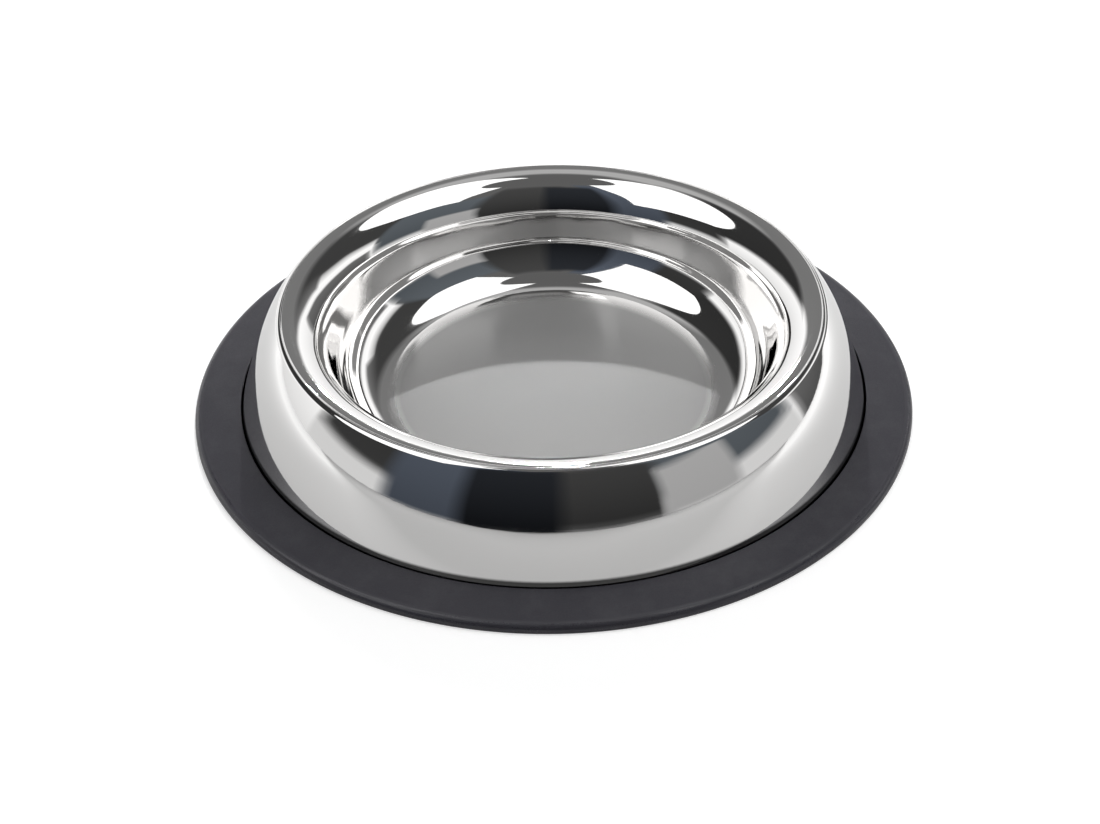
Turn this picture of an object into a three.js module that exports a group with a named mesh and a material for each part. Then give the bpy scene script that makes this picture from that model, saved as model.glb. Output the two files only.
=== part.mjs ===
// Pet food bowl: one pressed stainless steel sheet standing in a moulded rubber ring.
// Millimetres, +Z up, origin on the axis at the surface that the bowl stands on.
import * as THREE from 'three';

// Radii from the outside in: each is set in from the one before by its own width
const ringOuterRadius = 110;
const ringTopWidth = 14.6;
const ringInnerWidth = 6.4;
const skirtSpread = 14.4;

// Rubber ring
const ringEdgeHeight = 2.5;
const ringTopEdgeRound = 2;
const ringFootEdgeRound = 0.3;
const ringLipHeight = 3.6;
const ringLipRound = 0.3;
const ringFootThickness = 1;

// Steel sheet
const sheetThickness = 0.6;
const floorClearance = 0.5;
const floorFilletRadius = 16.5;
const wallLean = 14;
const rimHeight = 33;
const rimInnerBend = 13.5;
const rimOuterBend = 1.9;
const shoulderSlope = 52;
const shoulderDrop = 7.4;
const shoulderBend = 49;
const skirtFootBend = 1.6;
const flangeWidth = 5;

// Gap between rubber and steel, left all round so that the two bodies stay separate
const fitGap = 0.3;

// Facets: how many go round the axis, and how far a chord may lie from the arc that it stands for
const facetsAround = 72;
const chordError = 0.06;
const samePoint = 0.001;

const degrees = Math.PI / 180;

// A corner of a cross-section: its radius from the axis, its height and the bend that rounds it
function corner(radius, height, bend = 0) {
  return { at: new THREE.Vector2(radius, height), bend };
}

// The point where two straight lines meet, each given by a point and a direction
function crossing(point, direction, otherPoint, otherDirection) {
  const between = otherPoint.clone().sub(point);
  const along = between.cross(otherDirection) / direction.cross(otherDirection);
  return point.clone().addScaledVector(direction, along);
}

// The corners of a line that runs at a set distance to the right of another one, as a sheet's far face does
function offsetCorners(corners, distance) {
  const directions = corners.slice(1).map((next, i) => next.at.clone().sub(corners[i].at).normalize());
  const shifted = directions.map((direction, i) => {
    const right = new THREE.Vector2(direction.y, -direction.x);
    return corners[i].at.clone().addScaledVector(right, distance);
  });
  return corners.map(({ at, bend }, i) => {
    if (i === 0) {
      return { at: shifted[0], bend };
    }
    const last = directions.length - 1;
    if (i > last) {
      const right = new THREE.Vector2(directions[last].y, -directions[last].x);
      return { at: at.clone().addScaledVector(right, distance), bend };
    }
    const turnsLeft = directions[i - 1].cross(directions[i]) > 0;
    return {
      at: crossing(shifted[i - 1], directions[i - 1], shifted[i], directions[i]),
      bend: bend + (turnsLeft ? distance : -distance),
    };
  });
}

// The points of one corner: an arc that leaves and joins the two straight lines smoothly
function bendPoints(before, { at, bend }, after) {
  const back = before.at.clone().sub(at).normalize();
  const ahead = after.at.clone().sub(at).normalize();
  const halfAngle = Math.acos(back.dot(ahead)) / 2;
  const centre = back.clone().add(ahead).normalize().multiplyScalar(bend / Math.sin(halfAngle)).add(at);
  const start = back.clone().multiplyScalar(bend / Math.tan(halfAngle)).add(at).sub(centre);
  const turn = (Math.PI - 2 * halfAngle) * Math.sign(ahead.cross(back));
  const widestStep = 2 * Math.acos(1 - chordError / bend);
  const steps = Math.max(2, Math.ceil(Math.abs(turn) / widestStep));
  return Array.from({ length: steps + 1 }, (_, i) =>
    start.clone().rotateAround(new THREE.Vector2(), turn * i / steps).add(centre));
}

// The whole line through its corners; one that closes on itself bends at its first corner too
function outline(corners, closed = false) {
  const count = corners.length;
  const points = corners.flatMap((here, i) => {
    const atEnd = !closed && (i === 0 || i === count - 1);
    if (atEnd || here.bend === 0) {
      return [here.at];
    }
    return bendPoints(corners[(i + count - 1) % count], here, corners[(i + 1) % count]);
  });
  const distinct = points.filter((point, i) => i === 0 || point.distanceTo(points[i - 1]) > samePoint);
  return closed ? [...distinct, distinct[0].clone()] : distinct;
}

// A body of revolution about the Z axis, named and coloured
function turned(name, points, material) {
  const geometry = new THREE.LatheGeometry(points, facetsAround);
  geometry.rotateX(Math.PI / 2);
  const mesh = new THREE.Mesh(geometry, material);
  mesh.name = name;
  return mesh;
}

// Upper face of the sheet, from the middle of the basin over the rim to the edge of the flange
const floorHeight = floorClearance + sheetThickness;
const flangeTopHeight = ringFootThickness + fitGap + sheetThickness;
const skirtRadiusAtRing = ringOuterRadius - ringTopWidth;
const ringInnerRadius = skirtRadiusAtRing - ringInnerWidth;
const rimCrestRadius = skirtRadiusAtRing - skirtSpread;
const wallSlope = 90 - wallLean;
const wallTopRadius = rimCrestRadius - rimInnerBend * Math.tan(wallSlope / 2 * degrees);
const wallFootRadius = wallTopRadius - (rimHeight - floorHeight) * Math.tan(wallLean * degrees);
const shoulderTopRadius = rimCrestRadius + rimOuterBend * Math.tan(shoulderSlope / 2 * degrees);
const shoulderFootHeight = rimHeight - shoulderDrop;
const shoulderFootRadius = shoulderTopRadius + shoulderDrop / Math.tan(shoulderSlope * degrees);
const skirtRunPerDrop = (skirtRadiusAtRing - shoulderFootRadius) / (shoulderFootHeight - ringLipHeight);
const skirtFootRadius = shoulderFootRadius + skirtRunPerDrop * (shoulderFootHeight - flangeTopHeight);
const flangeEdgeRadius = skirtFootRadius + flangeWidth;

const upperFace = [
  corner(0, floorHeight),
  corner(wallFootRadius, floorHeight, floorFilletRadius),
  corner(wallTopRadius, rimHeight, rimInnerBend),
  corner(shoulderTopRadius, rimHeight, rimOuterBend),
  corner(shoulderFootRadius, shoulderFootHeight, shoulderBend),
  corner(skirtFootRadius, flangeTopHeight, skirtFootBend),
  corner(flangeEdgeRadius, flangeTopHeight),
];

// The lower face runs back to the axis one sheet thickness below, so the bowl is open underneath
const lowerFace = offsetCorners(upperFace, sheetThickness);
const sheetSection = [...outline(upperFace), ...outline(lowerFace).reverse()].reverse();

// The ring grips the flange in a slot and its lip closes against the skirt
const slotFloor = flangeTopHeight - sheetThickness - fitGap;
const slotRoof = flangeTopHeight + fitGap;
const slotEnd = flangeEdgeRadius + fitGap;
const skirtDirection = new THREE.Vector2(skirtRunPerDrop, -1).normalize();
const skirtSide = new THREE.Vector2(skirtRadiusAtRing, ringLipHeight);
const awayFromSkirt = new THREE.Vector2(-skirtDirection.y, skirtDirection.x);
const gripSide = skirtSide.clone().addScaledVector(awayFromSkirt, fitGap);
const level = new THREE.Vector2(1, 0);
const gripFoot = crossing(gripSide, skirtDirection, new THREE.Vector2(0, slotRoof), level);
const gripTop = crossing(gripSide, skirtDirection, new THREE.Vector2(0, ringLipHeight), level);

const ringSection = [
  corner(ringInnerRadius, 0, ringFootEdgeRound),
  corner(ringOuterRadius, 0, ringFootEdgeRound),
  corner(ringOuterRadius, ringEdgeHeight, ringTopEdgeRound),
  corner(gripTop.x, ringLipHeight, ringLipRound),
  corner(gripFoot.x, slotRoof, skirtFootBend - fitGap),
  corner(slotEnd, slotRoof),
  corner(slotEnd, slotFloor),
  corner(ringInnerRadius, slotFloor, ringFootEdgeRound),
];

const steel = new THREE.MeshStandardMaterial({ color: 0xc9c9cb, roughness: 0.12, metalness: 1 });
const rubber = new THREE.MeshStandardMaterial({ color: 0x1d1c20, roughness: 0.62, metalness: 0 });

const bowl = new THREE.Group();
bowl.add(turned('steel_bowl', sheetSection, steel));
bowl.add(turned('rubber_ring', outline(ringSection, true), rubber));

export default bowl;
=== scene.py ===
# Looks of the pet food bowl: a polished steel sheet in a black rubber ring, on a white table in soft light.
# Metres, +Z up. The frame gives the outer sizes, and the widths below match the CAD part.
import math
import bpy
from mathutils import Matrix, Vector


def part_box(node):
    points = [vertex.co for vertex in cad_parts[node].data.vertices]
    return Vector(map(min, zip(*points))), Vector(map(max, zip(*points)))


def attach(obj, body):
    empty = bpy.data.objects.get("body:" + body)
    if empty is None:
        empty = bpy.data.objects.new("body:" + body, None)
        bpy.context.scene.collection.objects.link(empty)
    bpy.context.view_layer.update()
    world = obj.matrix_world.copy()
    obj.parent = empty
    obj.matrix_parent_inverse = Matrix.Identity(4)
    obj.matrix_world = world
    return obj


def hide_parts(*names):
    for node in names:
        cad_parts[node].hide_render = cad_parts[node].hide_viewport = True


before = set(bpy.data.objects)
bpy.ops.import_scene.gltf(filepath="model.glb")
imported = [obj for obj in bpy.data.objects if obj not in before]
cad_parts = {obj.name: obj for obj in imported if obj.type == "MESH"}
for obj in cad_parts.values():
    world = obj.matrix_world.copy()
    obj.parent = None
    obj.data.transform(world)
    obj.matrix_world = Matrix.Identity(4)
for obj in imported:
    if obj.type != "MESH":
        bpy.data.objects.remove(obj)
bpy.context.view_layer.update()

MM = 0.001

# Sizes that the frame gives
ring_outer_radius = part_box("rubber_ring")[1][0]
rim_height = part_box("steel_bowl")[1][2]

# Widths from the outside in
ring_top_width = 14.6 * MM
ring_inner_width = 6.4 * MM
skirt_spread = 14.4 * MM

# Rubber ring
ring_edge_height = 2.5 * MM
ring_top_edge_round = 2 * MM
ring_foot_edge_round = 0.3 * MM
ring_lip_height = 3.6 * MM
ring_lip_round = 0.3 * MM
ring_foot_thickness = 1 * MM

# Steel sheet
sheet_thickness = 0.6 * MM
floor_clearance = 0.5 * MM
floor_fillet_radius = 16.5 * MM
wall_lean = math.radians(11)
rim_inner_bend = 13.5 * MM
rim_outer_bend = 1.9 * MM
shoulder_slope = math.radians(52)
shoulder_drop = 7.4 * MM
shoulder_bend = 49 * MM
skirt_foot_bend = 1.6 * MM
flange_width = 5 * MM
fit_gap = 0.3 * MM

# The basin's floor is satin inside this radius, and the rest is mirror polished
satin_radius = 52 * MM

# Just above the ring's lip the steel's colour darkens. This is a painted shade of the crevice and a painted
# reflection of the black ring: how far in from the lip it starts, and how soon it is full
painted_seam_shade_inset = 0.6 * MM
painted_seam_shade_width = 0.25 * MM

# Fineness of the meshes
segments_around = 240
bend_step = math.radians(2.5)
straight_step = 2 * MM

# A point nearer to the axis than this counts as on it
on_axis = 1e-7


def corner(radius, height, bend=0.0):
    """A corner of a cross-section: its place and the bend that rounds it."""
    return Vector((radius, height)), bend


def left_of(direction):
    return Vector((-direction.y, direction.x))


def straight_points(start, end):
    """Evenly spaced points between two places, without the places themselves."""
    steps = max(1, math.ceil((end - start).length / straight_step))
    return [start.lerp(end, i / steps) for i in range(1, steps)]


def bend_points(before, here, after, bend):
    """The points of the arc that rounds one corner."""
    back = (before - here).normalized()
    ahead = (after - here).normalized()
    half_angle = back.angle(ahead) / 2
    centre = here + (back + ahead).normalized() * (bend / math.sin(half_angle))
    start = here + back * (bend / math.tan(half_angle)) - centre
    turn = (math.pi - 2 * half_angle) * math.copysign(1, ahead.cross(back))
    steps = max(2, math.ceil(abs(turn) / bend_step))
    return [centre + Matrix.Rotation(turn * i / steps, 2) @ start for i in range(steps + 1)]


def outline(corners, closed=False):
    """The line through the corners, with an arc at each bend and short steps on straight stretches."""
    count = len(corners)
    knots = []
    for i, (here, bend) in enumerate(corners):
        at_end = not closed and i in (0, count - 1)
        if at_end or bend == 0:
            knots.append([here])
        else:
            knots.append(bend_points(corners[i - 1][0], here, corners[(i + 1) % count][0], bend))
    points = []
    for i, knot in enumerate(knots):
        points += knot
        if i < count - 1:
            points += straight_points(knot[-1], knots[i + 1][0])
    return points


def offset_line(points, distance):
    """The line that lies a set distance to the right of another, as a sheet's far face does."""
    shifted = []
    for i, point in enumerate(points):
        before = points[max(i - 1, 0)]
        after = points[min(i + 1, len(points) - 1)]
        shifted.append(point - left_of((after - before).normalized()) * distance)
    return shifted


def turned(name, points):
    """A body of revolution about the Z axis; points on the axis become one vertex each."""
    mesh = bpy.data.meshes.new(name)
    vertices = []
    rings = []
    for point in points:
        first = len(vertices)
        if point.x < on_axis:
            vertices.append((0, 0, point.y))
            rings.append([first] * segments_around)
        else:
            for k in range(segments_around):
                angle = 2 * math.pi * k / segments_around
                vertices.append((point.x * math.cos(angle), point.x * math.sin(angle), point.y))
            rings.append(list(range(first, first + segments_around)))
    faces = []
    for inner, outer in zip(rings, rings[1:] + rings[:1]):
        for k in range(segments_around):
            following = (k + 1) % segments_around
            face = [inner[k], inner[following], outer[following], outer[k]]
            distinct = list(dict.fromkeys(face))
            if len(distinct) > 2:
                faces.append(distinct)
    mesh.from_pydata(vertices, [], faces)
    mesh.shade_smooth()
    piece = bpy.data.objects.new(name, mesh)
    bpy.context.scene.collection.objects.link(piece)
    return piece


# Section of the sheet's upper face, from the middle of the basin to the flange's edge
skirt_radius_at_ring = ring_outer_radius - ring_top_width
ring_inner_radius = skirt_radius_at_ring - ring_inner_width
rim_crest_radius = skirt_radius_at_ring - skirt_spread
floor_height = floor_clearance + sheet_thickness
flange_top_height = ring_foot_thickness + fit_gap + sheet_thickness
wall_slope = math.pi / 2 - wall_lean
wall_top_radius = rim_crest_radius - rim_inner_bend * math.tan(wall_slope / 2)
wall_foot_radius = wall_top_radius - (rim_height - floor_height) * math.tan(wall_lean)
shoulder_top_radius = rim_crest_radius + rim_outer_bend * math.tan(shoulder_slope / 2)
shoulder_foot_height = rim_height - shoulder_drop
shoulder_foot_radius = shoulder_top_radius + shoulder_drop / math.tan(shoulder_slope)
skirt_run = (skirt_radius_at_ring - shoulder_foot_radius) / (shoulder_foot_height - ring_lip_height)
skirt_foot_radius = shoulder_foot_radius + skirt_run * (shoulder_foot_height - flange_top_height)
flange_edge_radius = skirt_foot_radius + flange_width
painted_seam_shade_radius = skirt_radius_at_ring - painted_seam_shade_inset

upper_face = outline([
    corner(0, floor_height),
    corner(wall_foot_radius, floor_height, floor_fillet_radius),
    corner(wall_top_radius, rim_height, rim_inner_bend),
    corner(shoulder_top_radius, rim_height, rim_outer_bend),
    corner(shoulder_foot_radius, shoulder_foot_height, shoulder_bend),
    corner(skirt_foot_radius, flange_top_height, skirt_foot_bend),
    corner(flange_edge_radius, flange_top_height),
])
lower_face = offset_line(upper_face, sheet_thickness)

# Section of the ring, with the slot that grips the flange
slot_floor = flange_top_height - sheet_thickness - fit_gap
slot_roof = flange_top_height + fit_gap
slot_end = flange_edge_radius + fit_gap
grip_shift = fit_gap * math.hypot(1, skirt_run)
grip_top_radius = skirt_radius_at_ring + grip_shift
grip_foot_radius = grip_top_radius + skirt_run * (ring_lip_height - slot_roof)

ring_section = outline([
    corner(ring_inner_radius, 0, ring_foot_edge_round),
    corner(ring_outer_radius, 0, ring_foot_edge_round),
    corner(ring_outer_radius, ring_edge_height, ring_top_edge_round),
    corner(grip_top_radius, ring_lip_height, ring_lip_round),
    corner(grip_foot_radius, slot_roof, skirt_foot_bend - fit_gap),
    corner(slot_end, slot_roof),
    corner(slot_end, slot_floor),
    corner(ring_inner_radius, slot_floor, ring_foot_edge_round),
], closed=True)


class Shader:
    """Builds the node tree of one material or world."""

    def __init__(self, owner):
        owner.use_nodes = True
        self.owner = owner
        self.tree = owner.node_tree
        self.tree.nodes.clear()

    def node(self, kind, inputs=None, **settings):
        """Adds a node; an input is a number, a colour or another node's output."""
        node = self.tree.nodes.new("ShaderNode" + kind)
        for name, value in settings.items():
            setattr(node, name, value)
        for name, value in (inputs or {}).items():
            socket = node.inputs[name]
            if isinstance(value, bpy.types.NodeSocket):
                self.tree.links.new(value, socket)
            else:
                socket.default_value = value
        return node

    def math(self, operation, first, second=0.0):
        return self.node("Math", {0: first, 1: second}, operation=operation).outputs[0]

    def spread(self, value, low, high, to_low, to_high):
        """Maps a value from one range to another, held at the ends."""
        limits = {"Value": value, "From Min": low, "From Max": high, "To Min": to_low, "To Max": to_high}
        return self.node("MapRange", limits).outputs[0]

    def blend(self, share, first, second):
        """Mixes two colours; the share is the second one's."""
        return self.node("Mix", {"Factor": share, 6: first, 7: second}, data_type="RGBA").outputs[2]


def new_material(name):
    return Shader(bpy.data.materials.new(name))


def round_the_axis(shader, turns_scale, line_scale):
    """Noise coordinates that run slowly round the axis and fast across it, without a seam."""
    place = shader.node("TexCoord").outputs["Object"]
    parts = shader.node("SeparateXYZ", {0: place})
    level = shader.node("CombineXYZ", {0: parts.outputs[0], 1: parts.outputs[1]}).outputs[0]
    radius = shader.node("VectorMath", {0: level}, operation="LENGTH").outputs["Value"]
    heading = shader.node("VectorMath", {0: level}, operation="NORMALIZE").outputs[0]
    slow = shader.node("VectorMath", {0: heading, "Scale": turns_scale}, operation="SCALE").outputs[0]
    along_section = shader.math("MULTIPLY", shader.math("SUBTRACT", radius, parts.outputs[2]), line_scale)
    across = shader.node("CombineXYZ", {2: along_section}).outputs[0]
    return shader.node("VectorMath", {0: slow, 1: across}, operation="ADD").outputs[0], radius, place


# Steel: colours, the satin floor's finish, the marks of polishing and use, and the painted shade above the
# ring's lip
steel_colour = (0.61, 0.605, 0.6, 1)
satin_colour = (0.29, 0.289, 0.287, 1)
# Painted shade and painted reflection of the ring above its lip: their colour, and how strongly they darken
# the steel
painted_seam_shade_colour = (0, 0, 0, 1)
painted_seam_shade_strength = 0.9
satin_metallic = 0.7
satin_roughness = 0.4
polish_turns = 6
polish_lines_per_metre = 2600
polish_roughness = (0.0, 0.02)
polish_depth = 0.02 * MM
wave_scale = 38
wave_depth = 0.6 * MM
wave_share_outside_wall = 0.15
smudge_scale = 55
smudge_roughness = (0.02, 0.05)


def steel_material():
    """Mirror-polished stainless steel: fine polishing lines round the axis, faint waviness and smudges, and
    a painted shade and reflection of the ring just above its lip.
    """
    shader = new_material("polished_steel")
    lines_at, radius, place = round_the_axis(shader, polish_turns, polish_lines_per_metre)
    lines = shader.node("TexNoise", {"Vector": lines_at, "Scale": 1.0, "Detail": 3.0})
    waves = shader.node("TexNoise", {"Vector": place, "Scale": wave_scale, "Detail": 1.0})
    smudge_look = {"Vector": place, "Scale": smudge_scale, "Detail": 5.0, "Roughness": 0.65}
    smudges = shader.node("TexNoise", smudge_look)
    polish = shader.spread(lines.outputs[0], 0.35, 0.7, *polish_roughness)
    haze = shader.spread(smudges.outputs[0], 0.45, 0.75, *smudge_roughness)
    satin = shader.spread(radius, wall_foot_radius - floor_fillet_radius, satin_radius, 1.0, 0.0)
    in_basin = shader.spread(radius, satin_radius, wall_foot_radius, wave_share_outside_wall, 1.0)
    below_rim = shader.spread(radius, wall_top_radius, rim_crest_radius, 1.0, wave_share_outside_wall)
    in_wall = shader.math("MINIMUM", in_basin, below_rim)
    wave_height = shader.math("MULTIPLY", waves.outputs[0], in_wall)
    wave_bump = shader.node("Bump", {"Strength": 0.5, "Distance": wave_depth, "Height": wave_height})
    line_bump = shader.node("Bump", {
        "Strength": 0.06,
        "Distance": polish_depth,
        "Height": lines.outputs[0],
        "Normal": wave_bump.outputs[0],
    })
    # Painted shade and painted reflection of the black ring: the steel's colour darkens towards the ring's
    # lip
    painted_seam_shade = shader.spread(radius, painted_seam_shade_radius, painted_seam_shade_radius + painted_seam_shade_width, 0.0, painted_seam_shade_strength)
    steel_with_painted_seam_shade = shader.blend(painted_seam_shade, steel_colour, painted_seam_shade_colour)
    bright_roughness = shader.math("ADD", polish, haze)
    surface = shader.node("BsdfPrincipled", {
        "Base Color": shader.blend(satin, steel_with_painted_seam_shade, satin_colour),
        "Metallic": shader.spread(satin, 0, 1, 1.0, satin_metallic),
        "Roughness": shader.math("ADD", bright_roughness, shader.math("MULTIPLY", satin, satin_roughness)),
        "Normal": line_bump.outputs[0],
    })
    shader.node("OutputMaterial", {"Surface": surface.outputs[0]})
    return shader.owner


# Rubber: colours, grain, dust, and the outer edge, whose paler colour is partly wear and partly a painted
# highlight
rubber_colour = (0.0155, 0.0145, 0.022, 1)
# The outer edge's paler colour, partly wear and partly a painted highlight
worn_and_highlight_colour = (0.059, 0.057, 0.067, 1)
rubbing_turns = 9
rubbing_lines_per_metre = 1500
grain_scale = 2600
grain_depth = 0.06 * MM
grain_roughness = (0.46, 0.62)
dust_scale = 70
dust_strength = 0.35
# The band near the outer edge where the rounding starts: glossier from wear, and painted paler, partly as
# wear and partly as a painted highlight
worn_and_highlight_edge_inset = 2.6 * MM
worn_and_highlight_edge_width = 1 * MM
worn_and_highlight_strength = 0.5
worn_roughness_share = 0.45


def rubber_material():
    """Matt moulded rubber: fine grain, a little dust, and an outer edge that is shinier from wear and paler,
    partly from wear and partly as a painted highlight.
    """
    shader = new_material("black_rubber")
    lines_at, radius, place = round_the_axis(shader, rubbing_turns, rubbing_lines_per_metre)
    grain = shader.node("TexNoise", {"Vector": place, "Scale": grain_scale, "Detail": 3.0})
    dust = shader.node("TexNoise", {"Vector": place, "Scale": dust_scale, "Detail": 6.0, "Roughness": 0.7})
    rubbing = shader.node("TexNoise", {"Vector": lines_at, "Scale": 1.0, "Detail": 2.0})
    edge_start = ring_outer_radius - worn_and_highlight_edge_inset
    edge = shader.spread(radius, edge_start, edge_start + worn_and_highlight_edge_width, 0.0, 1.0)
    worn_and_highlight_edge = shader.math("MULTIPLY", edge, shader.spread(rubbing.outputs[0], 0.35, 0.65, 0.3, 1.0))
    dusty = shader.spread(dust.outputs[0], 0.45, 0.8, 0.0, dust_strength)
    # Paler colour from dust, and on the outer edge from wear and a painted highlight
    dust_wear_and_painted_highlight = shader.math("MAXIMUM", shader.math("MULTIPLY", worn_and_highlight_edge, worn_and_highlight_strength), dusty)
    bump = shader.node("Bump", {"Strength": 0.25, "Distance": grain_depth, "Height": grain.outputs[0]})
    matt = shader.spread(grain.outputs[0], 0.3, 0.7, *grain_roughness)
    worn_share = shader.spread(worn_and_highlight_edge, 0.0, 1.0, 1.0, worn_roughness_share)
    surface = shader.node("BsdfPrincipled", {
        "Base Color": shader.blend(dust_wear_and_painted_highlight, rubber_colour, worn_and_highlight_colour),
        "Roughness": shader.math("MULTIPLY", matt, worn_share),
        "Specular IOR Level": 0.45,
        "Normal": bump.outputs[0],
    })
    shader.node("OutputMaterial", {"Surface": surface.outputs[0]})
    return shader.owner


def add_bowl():
    """The steel sheet, open underneath, in place of the CAD sheet."""
    bowl = turned("bowl_sheet", upper_face + lower_face[::-1])
    bowl.data.materials.append(steel_material())
    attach(bowl, "root")
    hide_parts("steel_bowl")


def add_ring():
    """The rubber ring, in place of the CAD ring."""
    ring = turned("anti_slip_ring", ring_section)
    ring.data.materials.append(rubber_material())
    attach(ring, "root")
    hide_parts("rubber_ring")


# The photograph's view: a camera in front of the bowl, aimed a little off its middle
photo_width = 1100
focal_pixels = 1902
sensor_width = 36
camera_distance = 5.368 * ring_outer_radius
camera_elevation = math.radians(36.25)
camera_yaw = math.radians(0.11)
camera_pitch = math.radians(-0.71)
camera_roll = math.radians(1.21)


def add_camera():
    camera = bpy.data.cameras.new("photo_camera")
    camera.sensor_width = sensor_width
    camera.lens = sensor_width * focal_pixels / photo_width
    holder = bpy.data.objects.new("photo_camera", camera)
    bpy.context.scene.collection.objects.link(holder)
    place = Matrix.Translation((0, -camera_distance * math.cos(camera_elevation),
                                camera_distance * math.sin(camera_elevation)))
    towards_bowl = Matrix.Rotation(math.pi / 2 - camera_elevation, 4, "X")
    yaw = Matrix.Rotation(camera_yaw, 4, "Y")
    pitch = Matrix.Rotation(camera_pitch, 4, "X")
    roll = Matrix.Rotation(-camera_roll, 4, "Z")
    holder.matrix_world = place @ towards_bowl @ yaw @ pitch @ roll
    bpy.context.scene.camera = holder


# The studio round the bowl. Azimuth 0 is the camera's side and 90 the right; elevation is above the table.
# The cards stand in layers, so that none lies in another: layer 0 is the nearest and hides those behind it.
card_step = 2.5
card_rows = 24
nearest_card = 2.5
layer_spacing = 0.05


def card_place(azimuth, elevation, distance):
    across = math.radians(azimuth)
    up = math.radians(elevation)
    level = distance * math.cos(up)
    return level * math.sin(across), -level * math.cos(across), distance * math.sin(up)


def card_material(name, colour, low_level, high_level, bottom, top, inner):
    """Plain light of a card, which changes evenly from its bottom to its top and fades at its edges.

    inner, where it is given, is the level that the card has in reflections of reflections, without its tint.
    """
    shader = new_material(name)
    height = shader.node("SeparateXYZ", {0: shader.node("NewGeometry").outputs["Position"]}).outputs[2]
    strength = shader.spread(height, bottom, top, low_level, high_level)
    tint = (*colour, 1)
    if inner is not None:
        bounces = shader.node("LightPath").outputs["Glossy Depth"]
        again = shader.spread(bounces, 1, 2, 0, 1)
        strength = shader.spread(again, 0, 1, strength, inner)
        tint = shader.blend(again, tint, (1, 1, 1, 1))
    light = shader.node("Emission", {"Color": tint, "Strength": strength})
    cover = shader.node("Attribute", attribute_name="cover").outputs["Fac"]
    nothing = shader.node("BsdfTransparent")
    faded = shader.node("MixShader", {0: cover, 1: nothing.outputs[0], 2: light.outputs[0]})
    shader.node("OutputMaterial", {"Surface": faded.outputs[0]})
    return shader.owner


def add_card(name, layer, azimuths, lower, upper, levels, colour=(1, 1, 1), fade=0.0, inner=None):
    """A curved card that only reflections show.

    lower and upper are elevations or functions of azimuth, levels are the strengths at its bottom and top,
    and fade is how many degrees it takes to fade in from its edges.
    """
    distance = nearest_card + layer * layer_spacing
    columns = math.ceil((azimuths[1] - azimuths[0]) / card_step)
    vertices = []
    covers = []
    for i in range(columns + 1):
        azimuth = azimuths[0] + (azimuths[1] - azimuths[0]) * i / columns
        low = lower(azimuth) if callable(lower) else lower
        high = upper(azimuth) if callable(upper) else upper
        for j in range(card_rows + 1):
            elevation = low + (high - low) * j / card_rows
            vertices.append(card_place(azimuth, elevation, distance))
            inset = min(azimuth - azimuths[0], azimuths[1] - azimuth, elevation - low, high - elevation)
            covers.append(min(1, inset / fade) if fade > 0 else 1)
    faces = []
    for i in range(columns):
        for j in range(card_rows):
            here = i * (card_rows + 1) + j
            faces.append((here, here + 1, here + card_rows + 2, here + card_rows + 1))
    mesh = bpy.data.meshes.new(name)
    mesh.from_pydata(vertices, [], faces)
    mesh.attributes.new("cover", "FLOAT", "POINT").data.foreach_set("value", covers)
    heights = [vertex[2] for vertex in vertices]
    mesh.materials.append(card_material(name, colour, *levels, min(heights), max(heights), inner))
    card = bpy.data.objects.new(name, mesh)
    bpy.context.scene.collection.objects.link(card)
    card.visible_camera = False
    card.visible_diffuse = False
    card.visible_shadow = False


def rising_edge(lowest, turn, rise_per_degree):
    """A card's edge that is level, but rises from one azimuth on towards smaller ones."""
    return lambda azimuth: lowest + max(0, turn - azimuth) * rise_per_degree


left_box_foot = rising_edge(36, -95, 24 / 55)
right_box_foot = rising_edge(52, 90, 4 / 33)


def add_studio_cards():
    """Grey and dark cards all round, with two soft boxes high at the sides and a light behind.

    Each has its layer, its azimuths, its lower and upper elevation and its levels.
    """
    add_card("room_card", 14, (0, 360), 24, 90, (0.2, 0.17))
    add_card("back_glow_card", 13, (95, 265), -3, 34, (1.1, 1.8), fade=2)
    add_card("back_low_card", 12, (140, 220), 23, 54, (0.3, 0.26), fade=4)
    add_card("back_high_card", 11, (140, 220), 44, 68, (0.66, 0.66), fade=6)
    add_card("left_dark_card", 10, (-163, -82), 20, 63, (0.04, 0.05), fade=6)
    add_card("right_dark_card", 10, (82, 171), 25, 61, (0.07, 0.075), fade=11)
    add_card("left_low_card", 9, (-97, -50), 9, 43, (0.06, 0.05), fade=6, inner=4.0)
    add_card("right_low_card", 8, (97, 156), -4, 20, (0.1, 0.24), fade=3)
    add_card("right_blue_card", 7, (26, 98), 8, 60, (0.13, 0.19), (0.88, 1.0, 1.12), fade=6, inner=4.0)
    add_card("left_blue_card", 6, (-64, -20), -5, 78, (0.085, 0.16), (0.85, 1.0, 1.28), fade=6, inner=4.0)
    add_card("camera_side_grey", 5, (-14, 42), -5, 75, (0.03, 0.09), fade=7, inner=0.55)
    add_card("camera_side_black", 4, (-37, 6), -8, 73, (0.004, 0.04), (0.9, 1.0, 1.2), fade=7, inner=0.5)
    add_card("window_card", 2, (35, 68), -2, 31, (0.55, 0.6), fade=4)
    add_card("left_soft_box", 0, (-155, -45), left_box_foot, 77, (2.0, 2.0))
    add_card("right_soft_box", 0, (57, 168), right_box_foot, 77, (2.0, 2.0))


# Lamps: distance from the bowl here, and azimuth, elevation, power in watts and width where they are added
lamp_distance = 1.5


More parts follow.
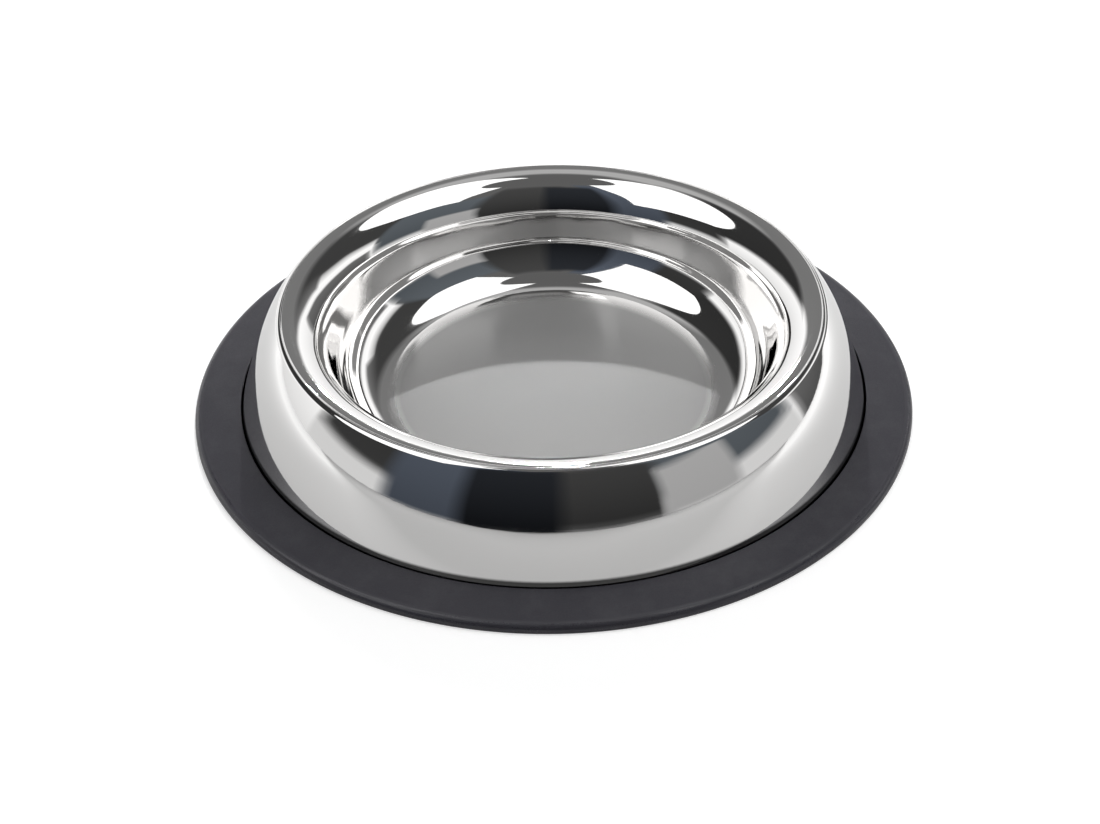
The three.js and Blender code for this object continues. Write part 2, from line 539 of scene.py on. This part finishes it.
def add_lamp(name, azimuth, elevation, power, size, in_metal=False):
    """A soft lamp aimed at the bowl. Unless it is in_metal, the cards stand for it in reflections."""
    light = bpy.data.lights.new(name, "AREA")
    light.energy = power
    light.size = size
    lamp = bpy.data.objects.new(name, light)
    lamp.location = card_place(azimuth, elevation, lamp_distance)
    lamp.rotation_euler = (-lamp.location).to_track_quat("-Z", "Y").to_euler()
    lamp.visible_glossy = in_metal
    bpy.context.scene.collection.objects.link(lamp)


def seen_directly(shader, ray):
    """1 for rays from the camera and rays off or through shiny surfaces, 0 for rays that only light."""
    shiny = shader.math("MAXIMUM", ray["Is Glossy Ray"], ray["Is Transmission Ray"])
    return shader.math("MAXIMUM", ray["Is Camera Ray"], shiny)


# How bright the white surrounding is where it only lights the bowl; 1 is white
surrounding_light = 0.45


def add_world():
    """An even white surrounding: full white for the camera and in metal, softer where it lights the bowl."""
    world = bpy.data.worlds.new("white_surrounding")
    bpy.context.scene.world = world
    shader = Shader(world)
    seen = seen_directly(shader, shader.node("LightPath").outputs)
    strength = shader.spread(seen, 0, 1, surrounding_light, 1.0)
    background = shader.node("Background", {"Color": (1, 1, 1, 1), "Strength": strength})
    shader.node("OutputWorld", {"Surface": background.outputs[0]})


# The table lies a hair below the ring, and its glow grows with the distance from the bowl's axis; in metal,
# its weaker glow near the bowl and in front of it is painted shade
table_half_width = 6
table_gap = 0.1 * MM
table_colour = (0.66, 0.66, 0.66, 1)
metal_glow_radii = (0.12, 0.4)
metal_glow = (0.15, 0.85)
camera_glow_radii = (0.4, 1.5)
camera_glow = (0.5, 1.0)
front_shade_reach = (-0.16, -0.1)
front_shade = 0.25


def table_material():
    """White that glows enough to match the surrounding, and less so in metal near the bowl and in front,
    where this is painted shade.
    """
    shader = new_material("white_table")
    ray = shader.node("LightPath").outputs
    seen = seen_directly(shader, ray)
    place = shader.node("TexCoord").outputs["Object"]
    away = shader.node("VectorMath", {0: place}, operation="LENGTH").outputs["Value"]
    depth = shader.node("SeparateXYZ", {0: place}).outputs[1]
    # Painted shade: in metal the table glows less near the bowl and in front of it
    in_front = shader.spread(depth, *front_shade_reach, front_shade, 1.0)
    in_metal = shader.math("MULTIPLY", shader.spread(away, *metal_glow_radii, *metal_glow), in_front)
    by_distance = shader.spread(away, *camera_glow_radii, *camera_glow)
    for_camera = shader.math("MULTIPLY", ray["Is Camera Ray"], by_distance)
    strength = shader.math("MAXIMUM", shader.math("MULTIPLY", seen, in_metal), for_camera)
    glow = shader.node("Emission", {"Color": (1, 1, 1, 1), "Strength": strength})
    matt = shader.node("BsdfDiffuse", {"Color": table_colour})
    both = shader.node("AddShader", {0: glow.outputs[0], 1: matt.outputs[0]})
    from_below = shader.node("NewGeometry").outputs["Backfacing"]
    nothing = shader.node("BsdfTransparent")
    surface = shader.node("MixShader", {0: from_below, 1: both.outputs[0], 2: nothing.outputs[0]})
    shader.node("OutputMaterial", {"Surface": surface.outputs[0]})
    return shader.owner


def add_table():
    """A wide table that keeps the bowl's soft shadow. From below it is clear."""
    mesh = bpy.data.meshes.new("white_table")
    corners = [(-1, -1), (1, -1), (1, 1), (-1, 1)]
    vertices = [(x * table_half_width, y * table_half_width, -table_gap) for x, y in corners]
    mesh.from_pydata(vertices, [], [(0, 1, 2, 3)])
    mesh.materials.append(table_material())
    table = bpy.data.objects.new("white_table", mesh)
    bpy.context.scene.collection.objects.link(table)


add_bowl()
add_ring()
add_camera()
add_table()
add_studio_cards()
add_lamp("left_lamp", -100, 55, 0.5, 1.2)
add_lamp("right_lamp", 110, 60, 10, 1.2)
add_lamp("back_lamp", 180, 26, 2.5, 0.02, in_metal=True)
add_lamp("back_soft_lamp", 180, 30, 11, 0.25)
add_world()
bpy.context.scene.view_settings.view_transform = "Standard"
